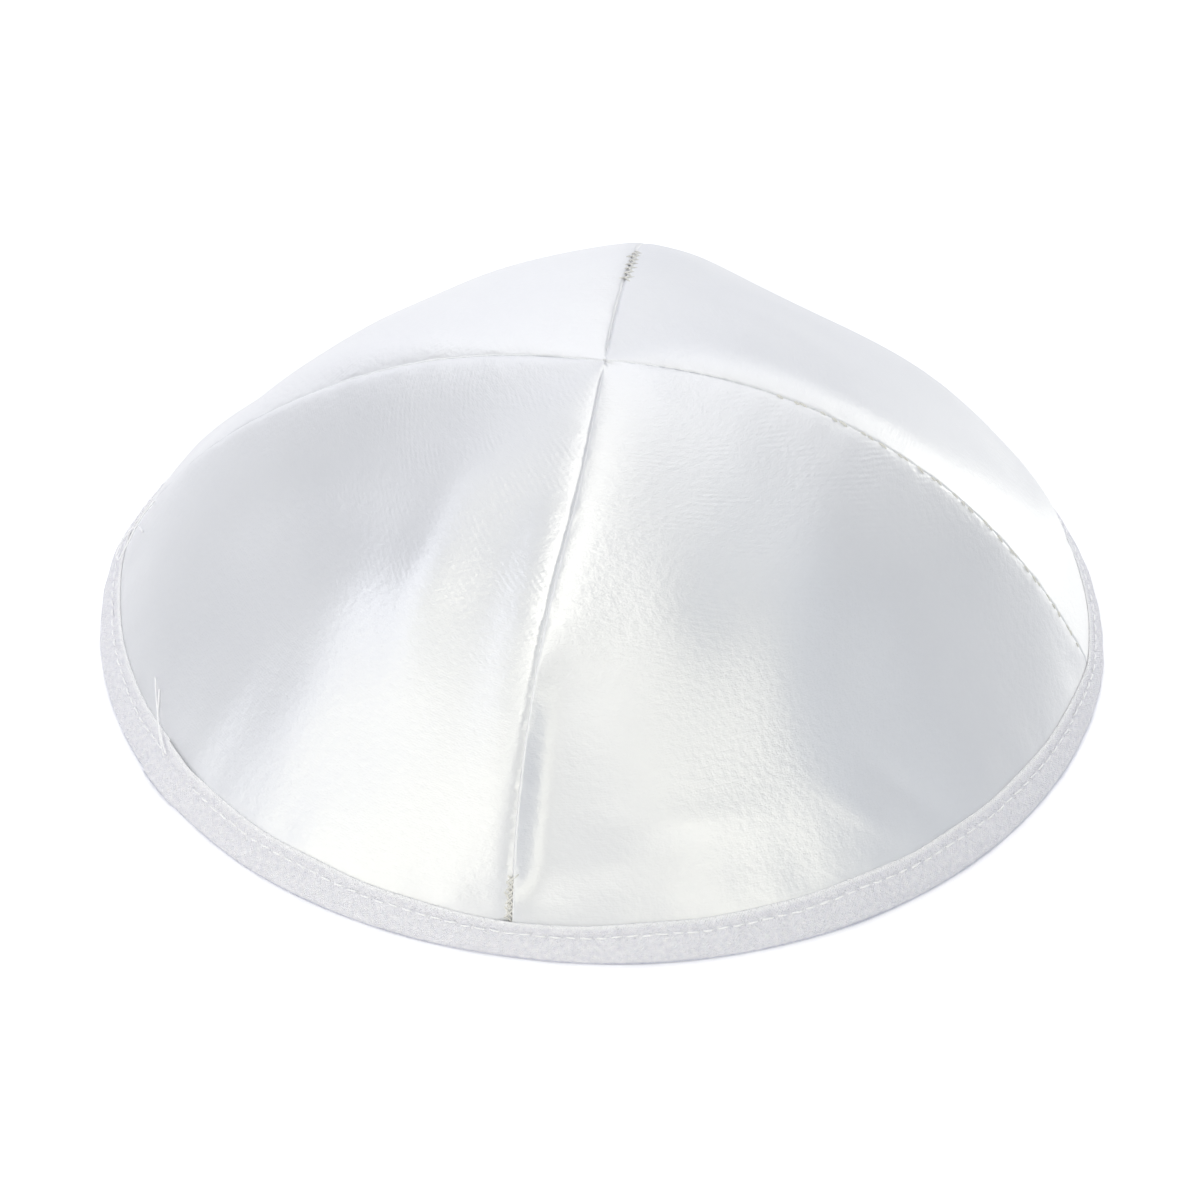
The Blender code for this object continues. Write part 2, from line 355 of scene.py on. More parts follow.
def relief(gore, across, down):
    """How far the cloth stands out of the plain form, in metres."""
    width = gore_width(gore, down)
    length = down * MERIDIAN
    out = form(gore, across, down)
    up_from_tape = MERIDIAN - TAPE_WIDTH - length
    free = smooth_step(up_from_tape, SEAM_HOLD_START, SEAM_HOLD_END)
    below_apex = np.minimum(1, down / LIP_START)
    for name, gap in ((gore.start, across * width), (gore.end, (1 - across) * width)):
        side = next(row for row in SIDES if (row.seam, row.gore) == (name, gore.name))
        beside = gap * MILLIMETRES
        shape = -along(SINKS[name], down) * np.exp(-beside / along(side.reaches, down))
        fade = np.exp(-((np.maximum(beside - side.place, 0) / side.far) ** 2))
        slope = beside / side.place
        shape = shape + along(side.bulges, down) * slope / (1 + slope**4) ** 0.25 * fade
        out += shape / MILLIMETRES * free * below_apex
        turned = np.clip(1 - beside / along(side.widths, down), 0, 1)
        stitch = np.cos(2 * math.pi * length / SEAM_STITCH_PITCH + SEAM_PHASE[name])
        pull = 1 + STITCH_PULLS[name] * stitch
        roll = along(ROLLS[name], down) / MILLIMETRES * pull
        if name == SLIT_SEAM:
            roll = roll + SLIT_DEPTH * np.exp(-(((down - SLIT_PLACE) / SLIT_LENGTH) ** 2))
        out -= roll * turned**2 * below_apex
        near = np.exp(-gap / SEAM_PUCKER_REACH) * smooth_step(gap, 0, PUCKER_RISE)
        ripple = wave(length, *SEAM_PUCKER_LENGTHS, phase=SEAM_PHASE[name])
        out += SEAM_PUCKER * near * ripple * np.minimum(1, down / PUCKER_START)
    near = np.exp(-np.clip(up_from_tape, 0, None) / TAPE_PUCKER_REACH)
    ripple = rim_wave(rim_place(gore, across), *TAPE_PUCKER_COUNTS, phase=TAPE_PUCKER_PHASE)
    out += TAPE_PUCKER * near * ripple * np.minimum(1, up_from_tape.clip(0) / PUCKER_RISE)
    return out


def grid_quads(rows, columns, closed=False):
    """Faces of a grid of points stored row by row; closed joins the last column to the first."""
    steps = columns if closed else columns - 1
    row, column = np.meshgrid(np.arange(rows - 1), np.arange(steps), indexing="ij")
    after = (column + 1) % columns
    corners = [row * columns + column, row * columns + after,
               (row + 1) * columns + after, (row + 1) * columns + column]
    return np.stack(corners, axis=-1).reshape(-1, 4)


def new_mesh(name, points, faces, material):
    """A smooth mesh object in the scene."""
    mesh = bpy.data.meshes.new(name)
    corners = [tuple(int(index) for index in face) for face in faces]
    mesh.from_pydata([tuple(point) for point in points], [], corners)
    mesh.validate()
    mesh.shade_smooth()
    mesh.materials.append(material)
    made = bpy.data.objects.new(name, mesh)
    bpy.context.scene.collection.objects.link(made)
    return made


def grid_normals(points):
    """Unit normals of a grid of points, from its own neighbours."""
    down_step = np.gradient(points, axis=0)
    across_step = np.gradient(points, axis=1)
    normal = np.cross(down_step, across_step)
    return normal / np.linalg.norm(normal, axis=-1, keepdims=True)


def across_shares(width):
    """Column places for one ring: close together in the seam rolls and even between them."""
    edge = np.minimum(EDGE_WIDTH, width * EDGE_LARGEST_SHARE) / width
    steps = (np.arange(EDGE_COLUMNS + 1) / EDGE_COLUMNS) ** EDGE_CROWDING * edge
    inner = np.linspace(edge, 1 - edge, GORE_COLUMNS - 2 * EDGE_COLUMNS + 1)[1:-1]
    return np.concatenate([steps, inner, 1 - steps[::-1]])


def store_map(piece, right, below):
    """A map of the cloth in metres for its weave: across and down a gore, or round and across the tape."""
    layer = piece.data.uv_layers.new(name="weave")
    corners = np.empty(len(piece.data.loops), dtype=np.int32)
    piece.data.loops.foreach_get("vertex_index", corners)
    rights = right[corners].reshape(-1, 4)
    crosses_start = np.ptp(rights, axis=1, keepdims=True) > CIRCUMFERENCE / 2
    rights = rights + CIRCUMFERENCE * (crosses_start & (rights < CIRCUMFERENCE / 2))
    places = np.stack([rights.ravel(), below[corners]], axis=-1)
    layer.uv.foreach_set("vector", places.astype(np.float32).ravel())


def make_gore(gore, material):
    """One gore: a thin sewn sheet with rolled seam edges, and its underside."""
    downs = np.linspace(APEX_START, float(down_at_height(GORE_FOOT)), GORE_RINGS)
    across = np.stack([across_shares(float(gore_width(gore, down))) for down in downs])
    down = np.repeat(downs[:, None], across.shape[1], axis=1)
    plain = crown_points(gore, across, down, 0.0)
    normal = grid_normals(plain)
    if normal[..., 2].mean() < 0:
        normal = -normal
    rise = relief(gore, across, down)
    outer = plain + normal * rise[..., None]
    under = np.maximum(rise, UNDERSIDE_LOWEST) * UNDERSIDE_SHARE - SATIN_THICK
    under = np.minimum(under, rise - SATIN_THIN)
    width = gore_width(gore, down)
    from_seam = np.minimum(across, 1 - across) * width
    past_allowance = smooth_step(from_seam, ALLOWANCE_WIDTH, ALLOWANCE_WIDTH + ALLOWANCE_STEP)
    under = under - ALLOWANCE_THICK * (1 - past_allowance)
    inner = plain + normal * under[..., None]
    rows, columns = down.shape
    points = np.concatenate([outer.reshape(-1, 3), inner.reshape(-1, 3)]) - MIDDLE
    top = grid_quads(rows, columns)
    count = rows * columns
    border = np.concatenate([np.arange(columns), np.arange(2, rows + 1) * columns - 1,
                             np.arange(count - 2, count - columns - 1, -1),
                             np.arange(rows - 2, 0, -1) * columns])
    after = np.roll(border, -1)
    sides = np.stack([border, border + count, after + count, after], axis=-1)
    faces = np.concatenate([top[:, ::-1], top + count, sides[:, ::-1]])
    piece = new_mesh(gore.name + "_satin", points, faces, material)
    right = np.tile(((across - 0.5) * width).ravel(), 2)
    below = np.tile((down * MERIDIAN).ravel(), 2)
    store_map(piece, right, below)
    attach(piece, "root")
    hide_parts(gore.name)


# The looks of the cloth. A wave texture repeats each WAVE_TURN / Scale metres. Spacings and depths are in
# metres. A fade or rise is where a look changes, in metres down a gore or along the tape's section, and
# patches are levels of noise
WAVE_TURN = 0.314
FLOAT_SPACING = 0.00042
HATCH_SPACING = 0.0009
HATCH_LEAN = math.radians(62)
HATCH_FADE = (0.052, 0.072)
HATCH_PATCHES = (0.40, 0.64)
HATCH_DEPTH = 0.00012
HATCH_STRENGTH = 0.19
TAPE_THREAD_SPACING = 0.00036
TAPE_BIAS = math.radians(45)
# Painted highlight: the tape's colour turns lighter towards its upper fold, within this fade along its
# section
TAPE_FOLD_HIGHLIGHT_FADE = (0.0006, 0.0011)
# Painted shade at the tape's foot, where it turns under the rim: where it rises along the tape's section, and
# how much of the painted shade colour it reaches
TAPE_FOOT_SHADE_RISE = (0.0062, 0.0074)
TAPE_FOOT_SHADE = 0.75
SATIN_COLOURS = ((0.790, 0.796, 0.828, 1), (0.850, 0.854, 0.875, 1))
SATIN_ROUGHNESS = (0.42, 0.54)
SATIN_LOOKS = {"Metallic": 0.40, "Anisotropic": 0.72, "Anisotropic Rotation": 0.25,
               "Specular IOR Level": 0.8, "Sheen Weight": 0.25, "Sheen Roughness": 0.4}
TAPE_COLOURS = ((0.70, 0.70, 0.80, 1), (0.98, 0.97, 1.0, 1))
# Painted highlight colour for the tape's upper fold
TAPE_FOLD_HIGHLIGHT_COLOUR = (0.94, 0.94, 0.98, 1)
# Painted shade colour for the tape's foot
TAPE_FOOT_SHADE_COLOUR = (0.34, 0.37, 0.50, 1)
TAPE_LOOKS = {"Roughness": 0.72, "Specular IOR Level": 0.3, "Sheen Weight": 0.3, "Sheen Roughness": 0.5}
THREAD_COLOURS = ((0.86, 0.86, 0.90, 1), (0.96, 0.96, 0.98, 1))
# Seam thread painted darker and greyer than the tape's thread: painted shade between the threads of the seam
# stitches and backtacks
SEAM_THREAD_SHADED_COLOURS = ((0.60, 0.59, 0.56, 1), (0.78, 0.77, 0.74, 1))
FLOOR_COLOURS = ((0.93, 0.93, 0.93, 1), (0.95, 0.95, 0.95, 1))


def set_sockets(node, values):
    """Values set on a node's own sockets."""
    for name, value in values.items():
        node.inputs[name].default_value = value


def new_material(name):
    """A material with its nodes, links and shader."""
    material = bpy.data.materials.new(name)
    material.use_nodes = True
    tree = material.node_tree
    return material, tree.nodes, tree.links, tree.nodes["Principled BSDF"]


def cloth_map(nodes):
    """The cloth's own map, in metres."""
    source = nodes.new("ShaderNodeUVMap")
    source.uv_map = "weave"
    return source.outputs["UV"]


def down_the_map(nodes, links, place):
    """The second measure of the cloth's map."""
    parts = nodes.new("ShaderNodeSeparateXYZ")
    links.new(place, parts.inputs["Vector"])
    return parts.outputs["Y"]


def turned_map(nodes, links, place, angle):
    """The cloth's map turned by an angle."""
    slant = nodes.new("ShaderNodeMapping")
    set_sockets(slant, {"Rotation": (0, 0, angle)})
    links.new(place, slant.inputs["Vector"])
    return slant.outputs["Vector"]


def threads(nodes, links, place, spacing, direction, values):
    """Side by side threads at a spacing in metres."""
    texture = nodes.new("ShaderNodeTexWave")
    texture.bands_direction = direction
    set_sockets(texture, {"Scale": WAVE_TURN / spacing, **values})
    links.new(place, texture.inputs["Vector"])
    return texture.outputs["Fac"]


def noise(nodes, links, place, values):
    """Uneven spots."""
    texture = nodes.new("ShaderNodeTexNoise")
    set_sockets(texture, values)
    links.new(place, texture.inputs["Vector"])
    return texture.outputs["Fac"]


def ranged(nodes, links, value, start, end, low, high):
    """A value from start to end turned into one from low to high."""
    turned = nodes.new("ShaderNodeMapRange")
    set_sockets(turned, {"From Min": start, "From Max": end, "To Min": low, "To Max": high})
    links.new(value, turned.inputs["Value"])
    return turned.outputs["Result"]


def mixed(nodes, links, factor, low, high):
    """A colour between two, by a factor; the first may come from another node."""
    mix = nodes.new("ShaderNodeMix")
    mix.data_type = "RGBA"
    links.new(factor, mix.inputs["Factor"])
    if isinstance(low, tuple):
        mix.inputs["A"].default_value = low
    else:
        links.new(low, mix.inputs["A"])
    mix.inputs["B"].default_value = high
    return mix.outputs["Result"]


def bumped(nodes, links, height, strength, depth, under=None):
    """A bump of a depth in metres, laid over another one; its strength may come from another node."""
    bump = nodes.new("ShaderNodeBump")
    set_sockets(bump, {"Distance": depth})
    if isinstance(strength, float):
        bump.inputs["Strength"].default_value = strength
    else:
        links.new(strength, bump.inputs["Strength"])
    links.new(height, bump.inputs["Height"])
    if under is not None:
        links.new(under, bump.inputs["Normal"])
    return bump.outputs["Normal"]


def satin_material():
    """Satin weave: long floats across the gore, a patchy hatch high up, a soft cool sheen."""
    material, nodes, links, shader = new_material("satin_cloth")
    place = cloth_map(nodes)
    floats = threads(nodes, links, place, FLOAT_SPACING, "Y",
                     {"Distortion": 7.0, "Detail": 3.0, "Detail Scale": 1.5})
    slant = turned_map(nodes, links, place, HATCH_LEAN)
    hatch = threads(nodes, links, slant, HATCH_SPACING, "X",
                    {"Distortion": 3.0, "Detail": 2.0, "Detail Scale": 0.6})
    patches = noise(nodes, links, place, {"Scale": 100.0, "Detail": 1.0})
    blotch = noise(nodes, links, place, {"Scale": 38.0, "Detail": 3.0})
    grain = noise(nodes, links, place, {"Scale": 2600.0, "Detail": 2.0})
    mottle = noise(nodes, links, place, {"Scale": 800.0, "Detail": 3.0})
    hatching = nodes.new("ShaderNodeMath")
    hatching.operation = "MULTIPLY"
    links.new(ranged(nodes, links, patches, *HATCH_PATCHES, 0.0, HATCH_STRENGTH), hatching.inputs[0])
    high_up = ranged(nodes, links, down_the_map(nodes, links, place), *HATCH_FADE, 1.0, 0.0)
    links.new(high_up, hatching.inputs[1])
    normal = bumped(nodes, links, hatch, hatching.outputs["Value"], HATCH_DEPTH)
    for height, strength, depth in ((floats, 0.16, 0.00005), (grain, 0.55, 0.00006), (mottle, 0.50, 0.00020)):
        normal = bumped(nodes, links, height, strength, depth, normal)
    links.new(normal, shader.inputs["Normal"])
    links.new(mixed(nodes, links, blotch, *SATIN_COLOURS), shader.inputs["Base Color"])
    links.new(ranged(nodes, links, blotch, 0.0, 1.0, *SATIN_ROUGHNESS), shader.inputs["Roughness"])
    tangent = nodes.new("ShaderNodeTangent")
    tangent.direction_type = "UV_MAP"
    tangent.uv_map = "weave"
    links.new(tangent.outputs["Tangent"], shader.inputs["Tangent"])
    set_sockets(shader, SATIN_LOOKS)
    return material


def tape_material():
    """Matt plain-weave bias tape, with a painted highlight on its upper fold and painted shade where it turns
    under the rim.
    """
    material, nodes, links, shader = new_material("tape_cloth")
    place = cloth_map(nodes)
    slant = turned_map(nodes, links, place, TAPE_BIAS)
    weave = nodes.new("ShaderNodeMath")
    weave.operation = "MAXIMUM"
    for index, direction in enumerate(("X", "Y")):
        height = threads(nodes, links, slant, TAPE_THREAD_SPACING, direction,
                         {"Distortion": 1.0, "Detail": 1.0})
        links.new(height, weave.inputs[index])
    blotch = noise(nodes, links, place, {"Scale": 1200.0, "Detail": 3.0})
    below = down_the_map(nodes, links, place)
    # Painted highlight along the tape's upper fold
    fold = ranged(nodes, links, below, *TAPE_FOLD_HIGHLIGHT_FADE, 1.0, 0.0)
    # Painted shade where the tape turns under the rim
    foot_shade = ranged(nodes, links, below, *TAPE_FOOT_SHADE_RISE, 0.0, TAPE_FOOT_SHADE)
    tape_tone = mixed(nodes, links, blotch, *TAPE_COLOURS)
    highlighted = mixed(nodes, links, fold, tape_tone, TAPE_FOLD_HIGHLIGHT_COLOUR)
    links.new(mixed(nodes, links, foot_shade, highlighted, TAPE_FOOT_SHADE_COLOUR), shader.inputs["Base Color"])
    normal = bumped(nodes, links, weave.outputs["Value"], 0.8, 0.00014)
    normal = bumped(nodes, links, blotch, 0.60, 0.0006, normal)
    links.new(normal, shader.inputs["Normal"])
    set_sockets(shader, TAPE_LOOKS)
    return material


def thread_material(name, low, high):
    """Sewing thread with its twist, between two colours."""
    material, nodes, links, shader = new_material(name)
    place = nodes.new("ShaderNodeTexCoord").outputs["Object"]
    twist = noise(nodes, links, place, {"Scale": 5200.0})
    links.new(mixed(nodes, links, twist, low, high), shader.inputs["Base Color"])
    links.new(bumped(nodes, links, twist, 0.4, 0.00004), shader.inputs["Normal"])
    set_sockets(shader, {"Roughness": 0.45})
    return material


# The tape's stitches in metres: how far their line lies below its upper edge, then the stitches and the
# groove that they press, with the shares of its depth along a stitch and added at a needle's hole
STITCH_DROP = 0.0017
STITCH_COUNT = int(CIRCUMFERENCE / 0.0025)
STITCH_LENGTH = 0.0017
STITCH_RADIUS = 0.00017
STITCH_SUNK = 0.00004
GROOVE_DEPTH = 0.00034
GROOVE_WIDTH = 0.00042
GROOVE_ALONG = 0.45
GROOVE_AT_HOLE = 0.80

# The tape's uneven form in metres, with counts of waves round the rim: its edge, its puffs, and its belly
# below the stitches
EDGE_WAVE = 0.00022
EDGE_WAVE_COUNTS = (27, 16, 11)
PUFF = 0.00012
PUFF_COUNTS = (73, 41, 20)
BELLY = 0.00030

# Its lapped end: place as a share of the rim, lean, then metres
LAP_PLACE = 0.855
LAP_LEAN = 0.25
LAP_LENGTH = 0.0085
LAP_HEIGHT = 0.00032
LAP_STEP = 0.0007
LAP_FADE = 0.004

# Its hems, turned in: metres up the wall and between their faces, and the place of the outer one as a
# share of how far the tape stands out
HEM_EDGE = 0.0011
HEM_FLOOR = 0.0009
HEM_GAP = 0.00002
OUTSIDE_SLOT_SHARE = 0.45

# Points along its section: round the upper fold, down the outside, round the foot and up the inside
FOLD_POINTS = 6
OUTSIDE_POINTS = 18
FOOT_POINTS = 9
INSIDE_POINTS = 8


def rim_stations(count):
    """Places round the rim: gore, share across it and distance from the front seam."""
    found = []
    for station in range(count):
        place = station / count * len(GORES)
        index = int(place)
        found.append((GORES[index], place - index, place / len(GORES) * CIRCUMFERENCE))
    return found


def tape_edge(place):
    """How high up the wall the tape's slightly uneven upper edge lies."""
    return TAPE_WIDTH + EDGE_WAVE * rim_wave(place, *EDGE_WAVE_COUNTS, phase=0.7)


def tape_profile(place):
    """The tape's section at a place round the rim, as arrays of inset and height up the wall."""
    edge = tape_edge(place)
    puff = PUFF * rim_wave(place, *PUFF_COUNTS, phase=1.3)
    at_hole = (0.5 - 0.5 * math.cos(2 * math.pi * place * STITCH_COUNT / CIRCUMFERENCE)) ** 3
    pull = GROOVE_ALONG + GROOVE_AT_HOLE * at_hole
    outside = -TAPE_PROUD
    inside = SATIN_THICK + TAPE_PROUD
    half = (inside - outside) / 2
    middle = (inside + outside) / 2
    inset, height = [], []
    for share in np.linspace(0, 1, FOLD_POINTS)[:-1]:
        angle = math.pi * share
        inset.append(-(TAPE_LIP + TAPE_SLACK) / 2 + (TAPE_LIP - TAPE_SLACK) / 2 * math.cos(angle))
        height.append(edge - TAPE_EDGE + TAPE_EDGE * math.sin(angle))
    for share in np.linspace(0, 1, OUTSIDE_POINTS):
        up = edge - TAPE_EDGE - share * (edge - TAPE_EDGE - half)
        below_edge = edge - up
        proud = TAPE_LIP + (TAPE_PROUD - TAPE_LIP) * min(1, below_edge / STITCH_DROP)
        below_stitch = below_edge - STITCH_DROP
        groove = GROOVE_DEPTH * math.exp(-((below_stitch / GROOVE_WIDTH) ** 2))
        belly = BELLY * math.sin(math.pi * np.clip(below_stitch / (edge - STITCH_DROP), 0, 1))
        inset.append(groove * pull - proud - belly - puff * share)
        height.append(up)
    for share in np.linspace(0, 1, FOOT_POINTS)[1:-1]:
        angle = math.pi * share
        inset.append(middle - half * math.cos(angle))
        height.append(half - half * math.sin(angle))
    for share in np.linspace(0, 1, INSIDE_POINTS):
        inset.append(inside)
        height.append(half + share * (edge - half))
    inside_hem = SATIN_THICK + TAPE_SLACK
    inside_slot = (inside_hem + inside) / 2
    inside_wall = inside_slot + HEM_GAP
    outside_slot = -(TAPE_SLACK + TAPE_PROUD * OUTSIDE_SLOT_SHARE) / 2
    outside_wall = outside_slot - HEM_GAP
    fold = edge - 2 * TAPE_EDGE
    hems = [(inside_hem, edge), (inside_hem, HEM_EDGE), (inside_slot, HEM_EDGE), (inside_slot, fold),
            (inside_wall, fold), (inside_wall, HEM_FLOOR), (outside_wall, HEM_FLOOR), (outside_wall, fold),
            (outside_slot, fold), (outside_slot, HEM_EDGE), (-TAPE_SLACK, HEM_EDGE)]
    inset.extend(row[0] for row in hems)
    height.extend(row[1] for row in hems)
    return np.array(inset), np.array(height)


def wall_down(height):
    """The share down at which a point lies this far up the wall from the resting plane."""
    return 1 - np.asarray(height, float) / MERIDIAN


def make_binding(material):
    """Double-fold tape round the rim, with its stitch groove and lapped end."""
    points, right, below = [], [], []
    for gore, across, place in rim_stations(TAPE_STATIONS):
        inset, height = tape_profile(place)
        lap = (place / CIRCUMFERENCE - LAP_PLACE) * CIRCUMFERENCE
        slanted = lap - LAP_LEAN * (height - TAPE_WIDTH / 2)
        on_lap = smooth_step(slanted, 0, LAP_STEP)
        on_lap = on_lap * (1 - smooth_step(slanted, LAP_LENGTH, LAP_LENGTH + LAP_FADE))
        inset = inset - LAP_HEIGHT * on_lap * (inset < 0)
        shares = np.full_like(inset, across)
        inset = inset - form(gore, shares, wall_down(height))
        points.append(crown_points(gore, shares, wall_down(height), inset))
        right.append(np.full_like(inset, place))
        below.append(np.cumsum(np.r_[0, np.hypot(np.diff(inset), np.diff(height))]))
    points = np.array(points) - MIDDLE
    points[..., 2] -= points[..., 2].min()
    rows, columns = points.shape[:2]
    faces = grid_quads(rows, columns, closed=True)
    last = (rows - 1) * columns
    column = np.arange(columns)
    after = (column + 1) % columns
    closing = np.stack([last + column, last + after, after, column], axis=-1)
    piece = new_mesh("binding_tape", points.reshape(-1, 3), np.concatenate([faces, closing]), material)
    store_map(piece, np.concatenate(right), np.concatenate(below))
    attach(piece, "root")
    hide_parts("binding")


def rim_frame(place, height, inset):
    """A point on the tape with its unit directions: round the rim, up the wall and outward."""
    def at(where, up, deep):
        share = (where / CIRCUMFERENCE % 1) * len(GORES)
        gore = GORES[int(share)]
        found = crown_points(gore, np.array([share - int(share)]), np.array([1 - up / MERIDIAN]), deep)
        return found[0] - MIDDLE
    step = 0.0004
    spot = at(place, height, inset)
    round_rim = at(place + step, height, inset) - spot
    up_wall = at(place, height + step, inset) - spot
    round_rim /= np.linalg.norm(round_rim)
    up_wall /= np.linalg.norm(up_wall)
    outward = np.cross(up_wall, round_rim)
    outward /= np.linalg.norm(outward)
    if outward @ spot < 0:
        outward = -outward
    return spot, round_rim, up_wall, outward


def cloth_frame(gore, across, down):
    """A point on the cloth's outer face with its unit directions: across, towards the apex and outward."""
    step = 0.004
    sides = np.array([[across - step, across, across + step]] * 3)
    downs = np.array([[down - step] * 3, [down] * 3, [down + step] * 3])
    plain = crown_points(gore, sides, downs, 0.0)
    normal = grid_normals(plain)[1, 1]
    if normal[2] < 0:
        normal = -normal
    spot = plain[1, 1] + normal * relief(gore, sides, downs)[1, 1] - MIDDLE
    first = plain[1, 2] - plain[1, 0]
    first /= np.linalg.norm(first)
    up = np.cross(normal, first)
    if up[2] < 0:
        up = -up
    return spot, first, up, normal


# A stitch as a tube: its rings, and the sides of a ring. How far it arches up and sits down, and how thick
# its ends are, are shares of its radius
STITCH_RINGS = 9
THREAD_SIDES = 6
STITCH_ARCH = 1.1
STITCH_SEAT = 0.9
STITCH_END = 0.55


def stitch_shape(length, radius):
    """A stitch: a thread that comes up, lies along the cloth and dives again, as points ring by ring."""
    points = []
    for ring in range(STITCH_RINGS):
        share = ring / (STITCH_RINGS - 1)
        arch = math.sin(math.pi * share) ** 0.5
        lift = radius * STITCH_ARCH * arch - radius * STITCH_SEAT
        thick = radius * (STITCH_END + (1 - STITCH_END) * arch)
        for side in range(THREAD_SIDES):
            angle = 2 * math.pi * side / THREAD_SIDES
            points.append(((share - 0.5) * length, thick * math.cos(angle), lift + thick * math.sin(angle)))
    return np.array(points)


def tube_faces(start, rings):
    """Faces of a thread with both ends closed, whose points begin at an index and go ring by ring."""
    faces = [tuple(start + corner) for corner in grid_quads(rings, THREAD_SIDES, closed=True)]
    last = start + (rings - 1) * THREAD_SIDES
    faces.append(tuple(range(start + THREAD_SIDES - 1, start - 1, -1)))
    faces.append(tuple(range(last, last + THREAD_SIDES)))
    return faces


def join_stitches(name, frames, material):
    """Many stitches as one mesh; each frame is a place with its three directions, a length and a radius."""
    points, faces = [], []
    for spot, first, second, outward, length, radius in frames:
        shape = stitch_shape(length, radius)
        faces.extend(tube_faces(len(points), STITCH_RINGS))
        points.extend(spot + shape[:, :1] * first + shape[:, 1:2] * second + shape[:, 2:] * outward)
    piece = new_mesh(name, points, faces, material)
    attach(piece, "root")


def uneven(index, amount, step, shift=0.0):
    """How far one stitch differs from the next, between -amount and amount."""
    return amount * math.sin(index * step + shift)


def tape_stitches(material):
    """The line of stitching that holds the tape, outside and inside."""
    outside = -TAPE_PROUD + STITCH_SUNK
    inside = SATIN_THICK + TAPE_PROUD
    for name, inset in (("tape_stitches_outside", outside), ("tape_stitches_inside", inside)):
        frames = []
        for index in range(STITCH_COUNT):
            place = index * CIRCUMFERENCE / STITCH_COUNT
            height = tape_edge(place) - STITCH_DROP + uneven(index, 0.00006, 1.9)
            spot, first, second, outward = rim_frame(place, height, inset)
            if inset > 0:
                outward = -outward
            length = STITCH_LENGTH * (1 + uneven(index, 0.12, 2.7))
            turned = first + second * uneven(index, 0.10, 0.9, 1.0)
            turned /= np.linalg.norm(turned)
            frames.append((spot, turned, np.cross(outward, turned), outward, length, STITCH_RADIUS))
        join_stitches(name, frames, material)


# Stitches beside the right seam: where they run as shares down, their slant, then metres
EDGE_STITCH_START = 0.26
EDGE_STITCH_SPAN = 0.66
EDGE_STITCH_SLANT = 0.10
EDGE_STITCH_PITCH = 0.0023
EDGE_STITCH_GAP = 0.0004
EDGE_STITCH_LENGTH = 0.0014
EDGE_STITCH_RADIUS = 0.00024


def seam_stitches(material):
    """Small stitches under the lip of the right seam, on the front gore."""
    gore = GORES[0]
    frames = []
    count = int(EDGE_STITCH_SPAN * MERIDIAN / EDGE_STITCH_PITCH)
    for index in range(count):
        down = EDGE_STITCH_START + EDGE_STITCH_SPAN * (index + uneven(index, 0.3, 2.3)) / count
        width = float(gore_width(gore, np.array(down)))
        gap = EDGE_STITCH_GAP * (1 + uneven(index, 0.35, 1.7, 0.4))
        spot, first, up, outward = cloth_frame(gore, 1 - gap / width, down)
        slant = EDGE_STITCH_SLANT + uneven(index, 0.20, 3.1)
        way = up * math.cos(slant) + first * math.sin(slant)
        length = EDGE_STITCH_LENGTH * (1 + uneven(index, 0.25, 4.1))
        frames.append((spot, way, np.cross(outward, way), outward, length, EDGE_STITCH_RADIUS))
    join_stitches("right_seam_stitches", frames, material)


# Zigzags that lock a seam, on the gore that ends there: from and to as shares down, and their stitches.
# Then how far from the seam they lie in metres, their lean, and a stitch's length and radius in metres
Backtack = namedtuple("Backtack", "gore start stop count")
BACKTACKS = [
    Backtack(GORES[3], 0.872, 0.942, 13),
    Backtack(GORES[1], 0.24, 0.40, 15),
]
BACKTACK_GAP = 0.0006
BACKTACK_LEAN = 0.75
BACKTACK_LENGTH = 0.0029
BACKTACK_RADIUS = 0.00019


def backtacks(material):
    """Zigzag stitches that lock the front seam at its foot and the back seam on its upper half."""
    frames = []
    for row in BACKTACKS:
        for index in range(row.count):
            down = row.start + (row.stop - row.start) * index / row.count
            width = float(gore_width(row.gore, np.array(down)))
            spot, first, up, outward = cloth_frame(row.gore, 1 - BACKTACK_GAP / width, down)
            lean = BACKTACK_LEAN if index % 2 else -BACKTACK_LEAN
            lean += uneven(index, 0.15, 2.9)
            way = first * math.cos(lean) + up * math.sin(lean)
            length = BACKTACK_LENGTH * (1 + uneven(index, 0.25, 1.3))
            frames.append((spot, way, np.cross(outward, way), outward, length, BACKTACK_RADIUS))
    join_stitches("seam_backtacks", frames, material)


# Ends of thread on the front left gore: shares across and down, and how far over the cloth in millimetres
THREAD_RADIUS = 0.00015
THREAD_RINGS = 25
THREAD_ENDS = [
    ((0.334, 0.909, 0.3), (0.362, 0.922, 0.3), (0.386, 0.934, 0.4), (0.413, 0.945, 0.9), (0.442, 0.957, 1.1)),
    ((0.355, 0.912, 0.2), (0.370, 0.922, 0.3), (0.388, 0.935, 0.5), (0.416, 0.944, 0.9), (0.444, 0.953, 1.1)),
    ((0.012, 0.845, 0.2), (0.026, 0.875, 0.7), (0.052, 0.905, 0.9), (0.066, 0.932, 1.0), (0.050, 0.946, 1.3)),
    ((0.050, 0.946, 1.3), (0.030, 0.936, 1.2), (0.022, 0.910, 0.8), (0.036, 0.886, 0.5), (0.058, 0.872, 0.2)),
]


